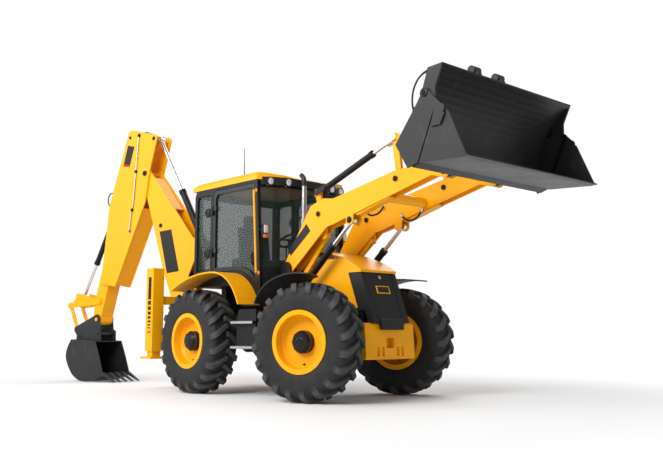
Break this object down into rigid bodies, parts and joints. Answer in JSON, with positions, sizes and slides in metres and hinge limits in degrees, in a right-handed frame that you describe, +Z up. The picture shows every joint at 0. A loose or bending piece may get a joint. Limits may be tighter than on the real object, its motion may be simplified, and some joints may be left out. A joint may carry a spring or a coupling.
{
  "type": "backhoe loader",
  "caption": "Four-wheel backhoe loader with a raised clam bucket on a parallel-lift linkage, a glazed cab and a folded side-shift backhoe.",
  "frame": {"origin": "on the ground under the middle of the machine's box", "axes": "+X forward, +Y to the machine's left, +Z up"},
  "size_m": [9.3581, 2.6816, 4.2999],
  "materials": {
    "yellow_paint": "gloss yellow paint",
    "black_paint": "matt black paint",
    "dark_steel": "dark grey paint",
    "rod_chrome": "polished",
    "tyre_rubber": "matt rubber",
    "cab_glazing": "tinted clear",
    "black_plastic": "grained"
  },
  "bodies": {
    "chassis": {"main_frame": "black_paint", "axles": "black_paint", "engine_block": "black_paint", "counterweight": "yellow_paint", "cab_frame": "black_paint", "cab_roof": "yellow_paint", "cab_glass": "cab_glazing", "operator_station": "black_plastic", "rear_fenders": "yellow_paint", "front_fenders": "black_plastic", "side_steps": "black_paint", "exhaust": "rod_chrome", "slide_frame": "yellow_paint"},
    "bonnet": {"bonnet": "yellow_paint", "grille": "black_plastic"},
    "door_right": {"door_right": "black_paint"},
    "door_left": {"door_left": "black_paint"},
    "knuckle_front_right": {"knuckle_front_right": "black_paint"},
    "knuckle_front_left": {"knuckle_front_left": "black_paint"},
    "knuckle_rear_right": {"knuckle_rear_right": "black_paint"},
    "knuckle_rear_left": {"knuckle_rear_left": "black_paint"},
    "wheel_front_right": {"tyre_front_right": "tyre_rubber", "rim_front_right": "yellow_paint"},
    "wheel_front_left": {"tyre_front_left": "tyre_rubber", "rim_front_left": "yellow_paint"},
    "wheel_rear_right": {"tyre_rear_right": "tyre_rubber", "rim_rear_right": "yellow_paint"},
    "wheel_rear_left": {"tyre_rear_left": "tyre_rubber", "rim_rear_left": "yellow_paint"},
    "loader_arms": {"loader_arms": "yellow_paint"},
    "level_links": {"level_links": "yellow_paint"},
    "bellcranks": {"bellcranks": "yellow_paint"},
    "lift_barrels": {"lift_barrels": "black_paint"},
    "lift_rods": {"lift_rods": "rod_chrome"},
    "lever_pins": {"lever_pins": "rod_chrome"},
    "tip_levers": {"tip_levers": "yellow_paint"},
    "tilt_pins": {"tilt_pins": "rod_chrome"},
    "tilt_barrels": {"tilt_barrels": "black_paint"},
    "tilt_rods": {"tilt_rods": "rod_chrome"},
    "link_pins": {"link_pins": "rod_chrome"},
    "bucket_links": {"bucket_links": "yellow_paint"},
    "bucket_pins": {"bucket_pins": "rod_chrome"},
    "loader_bucket": {"loader_bucket": "dark_steel"},
    "clam_jaw": {"clam_jaw": "dark_steel"},
    "stabiliser_right": {"stabiliser_right": "dark_steel"},
    "stabiliser_left": {"stabiliser_left": "dark_steel"},
    "carriage": {"carriage": "dark_steel"},
    "kingpost": {"kingpost": "yellow_paint"},
    "boom": {"boom": "yellow_paint"},
    "boom_ram_barrel": {"boom_ram_barrel": "black_paint"},
    "boom_ram_rod": {"boom_ram_rod": "rod_chrome"},
    "outer_dipper": {"outer_dipper": "yellow_paint"},
    "dipper_ram_barrel": {"dipper_ram_barrel": "black_paint"},
    "dipper_ram_rod": {"dipper_ram_rod": "rod_chrome"},
    "inner_dipper": {"inner_dipper": "yellow_paint"},
    "bucket_ram_barrel": {"bucket_ram_barrel": "black_paint"},
    "bucket_ram_rod": {"bucket_ram_rod": "rod_chrome"},
    "hoe_lever": {"hoe_lever": "yellow_paint"},
    "hoe_link": {"hoe_link": "yellow_paint"},
    "digging_bucket": {"digging_bucket": "dark_steel"}
  },
  "joints": [
    {"name": "bonnet_hinge", "type": "hinge", "parent": "chassis", "child": "bonnet", "pos_m": [1.174, 0, 1.88], "axis": [0, -1, 0], "range_deg": [0, 50]},
    {"name": "door_right_hinge", "type": "hinge", "parent": "chassis", "child": "door_right", "pos_m": [-0.219, -0.794, 1.5], "axis": [0, 0, -1], "range_deg": [0, 80]},
    {"name": "door_left_hinge", "type": "hinge", "parent": "chassis", "child": "door_left", "pos_m": [-0.219, 0.794, 1.5], "axis": [0, 0, 1], "range_deg": [0, 80]},
    {"name": "steer_front_right", "type": "hinge", "parent": "chassis", "child": "knuckle_front_right", "pos_m": [1.924, -0.636, 0.715], "axis": [0, 0, 1], "range_deg": [-35.5, 0.5]},
    {"name": "roll_front_right", "type": "hinge", "parent": "knuckle_front_right", "child": "wheel_front_right", "pos_m": [2.00417, -0.92509, 0.715], "axis": [-0.2672, 0.9636, 0], "continuous": true},
    {"name": "steer_front_left", "type": "hinge", "parent": "chassis", "child": "knuckle_front_left", "pos_m": [1.924, 0.636, 0.715], "axis": [0, 0, 1], "range_deg": [-36, 1]},
    {"name": "roll_front_left", "type": "hinge", "parent": "knuckle_front_left", "child": "wheel_front_left", "pos_m": [1.82386, 0.91879, 0.715], "axis": [-0.3338, 0.9426, 0], "continuous": true},
    {"name": "steer_rear_right", "type": "hinge", "parent": "chassis", "child": "knuckle_rear_right", "pos_m": [-0.296, -0.636, 0.715], "axis": [0, 0, 1], "range_deg": [-20, 20]},
    {"name": "roll_rear_right", "type": "hinge", "parent": "knuckle_rear_right", "child": "wheel_rear_right", "pos_m": [-0.296, -0.936, 0.715], "axis": [0, 1, 0], "continuous": true},
    {"name": "steer_rear_left", "type": "hinge", "parent": "chassis", "child": "knuckle_rear_left", "pos_m": [-0.296, 0.636, 0.715], "axis": [0, 0, 1], "range_deg": [-20.5, 20.5]},
    {"name": "roll_rear_left", "type": "hinge", "parent": "knuckle_rear_left", "child": "wheel_rear_left", "pos_m": [-0.296, 0.936, 0.715], "axis": [0, 1, 0], "continuous": true},
    {"name": "loader_lift", "type": "hinge", "parent": "chassis", "child": "loader_arms", "pos_m": [1.124, 0, 1.66], "axis": [0, -1, 0], "range_deg": [-50, 20]},
    {"name": "level_link_swing", "type": "hinge", "parent": "chassis", "child": "level_links", "pos_m": [1.159, 0, 1.385], "axis": [0, -1, 0], "range_deg": [-50.5, 20.5]},
    {"name": "bellcrank_swing", "type": "hinge", "parent": "loader_arms", "child": "bellcranks", "pos_m": [1.739, 0, 2.33], "axis": [0, -1, 0], "range_deg": [-20.5, 50.5]},
    {"name": "lift_barrel_swing", "type": "hinge", "parent": "chassis", "child": "lift_barrels", "pos_m": [1.254, 0, 1.305], "axis": [0, -1, 0], "range_deg": [-49.69, 20.18]},
    {"name": "lift_rod_slide", "type": "slide", "parent": "lift_barrels", "child": "lift_rods", "axis": [0.761, 0, 0.6487], "range_m": [-0.3132, 0.1265]},
    {"name": "bucket_pin_swing", "type": "hinge", "parent": "loader_arms", "child": "bucket_pins", "pos_m": [3.804, 0, 2.6], "axis": [0, -1, 0], "range_deg": [-20.5, 50.5]},
    {"name": "bucket_tilt", "type": "hinge", "parent": "bucket_pins", "child": "loader_bucket", "pos_m": [3.804, 0, 2.6], "axis": [0, 1, 0], "range_deg": [-30, 50]},
    {"name": "lever_pin_swing", "type": "hinge", "parent": "loader_arms", "child": "lever_pins", "pos_m": [3.084, 0, 2.606], "axis": [0, -1, 0], "range_deg": [-12.41, 30.28]},
    {"name": "lever_swing", "type": "hinge", "parent": "lever_pins", "child": "tip_levers", "pos_m": [3.084, 0, 2.606], "axis": [0, 1, 0], "range_deg": [-22.25, 36.75]},
    {"name": "link_pin_swing", "type": "hinge", "parent": "tip_levers", "child": "link_pins", "pos_m": [3.021, 0, 3.121], "axis": [0, -1, 0], "range_deg": [-39.27, 16.01]},
    {"name": "bucket_link_swing", "type": "hinge", "parent": "link_pins", "child": "bucket_links", "pos_m": [3.021, 0, 3.121], "axis": [0, 1, 0], "range_deg": [-40.01, 24.21]},
    {"name": "tilt_pin_swing", "type": "hinge", "parent": "bellcranks", "child": "tilt_pins", "pos_m": [1.646, 0, 2.617], "axis": [0, -1, 0], "range_deg": [-47.02, 19.11]},
    {"name": "tilt_barrel_swing", "type": "hinge", "parent": "tilt_pins", "child": "tilt_barrels", "pos_m": [1.646, 0, 2.617], "axis": [0, 1, 0], "range_deg": [-2.89, 4.49]},
    {"name": "tilt_rod_slide", "type": "slide", "parent": "tilt_barrels", "child": "tilt_rods", "axis": [0.9389, 0, 0.3442], "range_m": [-0.1848, 0.3067]},
    {"name": "clam_open", "type": "hinge", "parent": "loader_bucket", "child": "clam_jaw", "pos_m": [4.143, 0, 3.266], "axis": [0, -1, 0], "range_deg": [0, 60]},
    {"name": "stabiliser_right_drop", "type": "slide", "parent": "chassis", "child": "stabiliser_right", "axis": [0, 0, -1], "range_m": [0, 0.55]},
    {"name": "stabiliser_left_drop", "type": "slide", "parent": "chassis", "child": "stabiliser_left", "axis": [0, 0, -1], "range_m": [0, 0.55]},
    {"name": "side_shift", "type": "slide", "parent": "chassis", "child": "carriage", "axis": [0, -1, 0], "range_m": [-0.55, 0.55]},
    {"name": "backhoe_slew", "type": "hinge", "parent": "carriage", "child": "kingpost", "pos_m": [-1.656, 0, 1], "axis": [0, 0, 1], "range_deg": [-103, 77]},
    {"name": "boom_swing", "type": "hinge", "parent": "kingpost", "child": "boom", "pos_m": [-1.89959, -0.05624, 1], "axis": [0.225, -0.9744, 0], "range_deg": [-4, 100]},
    {"name": "boom_barrel_swing", "type": "hinge", "parent": "kingpost", "child": "boom_ram_barrel", "pos_m": [-1.75344, -0.0225, 1.55], "axis": [0.225, -0.9744, 0], "range_deg": [-4.54, 101.52]},
    {"name": "boom_rod_slide", "type": "slide", "parent": "boom_ram_barrel", "child": "boom_ram_rod", "axis": [-0.5392, -0.1245, 0.8329], "range_m": [-0.0378, 0.8961]},
    {"name": "dipper_swing", "type": "hinge", "parent": "boom", "child": "outer_dipper", "pos_m": [-2.79601, -0.26319, 3.505], "axis": [-0.225, 0.9744, 0], "range_deg": [-4, 95]},
    {"name": "dipper_barrel_swing", "type": "hinge", "parent": "boom", "child": "dipper_ram_barrel", "pos_m": [-1.58877, 0.01552, 2.227], "axis": [-0.225, 0.9744, 0], "range_deg": [-0.56, 1.81]},
    {"name": "dipper_rod_slide", "type": "slide", "parent": "dipper_ram_barrel", "child": "dipper_ram_rod", "axis": [-0.4804, -0.1109, 0.87], "range_m": [-0.9129, 0.0404]},
    {"name": "dipper_extend", "type": "slide", "parent": "outer_dipper", "child": "inner_dipper", "axis": [-0.2767, -0.0639, -0.9588], "range_m": [0, 1.1]},
    {"name": "digging_bucket_swing", "type": "hinge", "parent": "inner_dipper", "child": "digging_bucket", "pos_m": [-3.89315, -0.51649, 1.058], "axis": [-0.225, 0.9744, 0], "range_deg": [-20, 85]},
    {"name": "hoe_lever_swing", "type": "hinge", "parent": "inner_dipper", "child": "hoe_lever", "pos_m": [-3.83859, -0.50389, 1.364], "axis": [-0.225, 0.9744, 0], "range_deg": [-14.63, 60.57]},
    {"name": "hoe_link_swing", "type": "hinge", "parent": "hoe_lever", "child": "hoe_link", "pos_m": [-4.5947, -0.67845, 1.311], "axis": [-0.225, 0.9744, 0], "range_deg": [-51.79, 12.57]},
    {"name": "bucket_barrel_swing", "type": "hinge", "parent": "inner_dipper", "child": "bucket_ram_barrel", "pos_m": [-3.62812, -0.4553, 2.967], "axis": [-0.225, 0.9744, 0], "range_deg": [-3.34, 1.17]},
    {"name": "bucket_rod_slide", "type": "slide", "parent": "bucket_ram_barrel", "child": "bucket_ram_rod", "axis": [-0.4538, -0.1048, -0.8849], "range_m": [-0.5822, 0.1385]}
  ],
  "couplings": [
    {"joint": "steer_front_left", "follows": "steer_front_right", "ratio": 1},
    {"joint": "steer_rear_left", "follows": "steer_rear_right", "ratio": 1},
    {"joint": "level_link_swing", "follows": "loader_lift", "ratio": 1},
    {"joint": "bellcrank_swing", "follows": "loader_lift", "ratio": -1},
    {"joint": "lift_barrel_swing", "follows": "loader_lift", "ratio": 0.9838},
    {"joint": "lift_rod_slide", "follows": "loader_lift", "m_per_rad": 0.3566},
    {"joint": "bucket_pin_swing", "follows": "loader_lift", "ratio": -1},
    {"joint": "lever_pin_swing", "follows": "loader_lift", "ratio": -0.5956},
    {"joint": "lever_swing", "follows": "bucket_tilt", "ratio": 0.725},
    {"joint": "link_pin_swing", "follows": "loader_lift", "ratio": 0.7753},
    {"joint": "bucket_link_swing", "follows": "bucket_tilt", "ratio": -0.7902},
    {"joint": "tilt_pin_swing", "follows": "loader_lift", "ratio": 0.9303},
    {"joint": "tilt_barrel_swing", "follows": "bucket_tilt", "ratio": 0.0798},
    {"joint": "tilt_rod_slide", "follows": "bucket_tilt", "m_per_rad": 0.3492},
    {"joint": "boom_barrel_swing", "follows": "boom_swing", "ratio": 1.0102},
    {"joint": "boom_rod_slide", "follows": "boom_swing", "m_per_rad": 0.5123},
    {"joint": "dipper_barrel_swing", "follows": "dipper_swing", "ratio": 0.0138},
    {"joint": "dipper_rod_slide", "follows": "dipper_swing", "m_per_rad": -0.5494},
    {"joint": "hoe_lever_swing", "follows": "digging_bucket_swing", "ratio": 0.7067},
    {"joint": "hoe_link_swing", "follows": "digging_bucket_swing", "ratio": -0.6034},
    {"joint": "bucket_barrel_swing", "follows": "digging_bucket_swing", "ratio": -0.0334},
    {"joint": "bucket_rod_slide", "follows": "digging_bucket_swing", "m_per_rad": -0.3911}
  ]
}
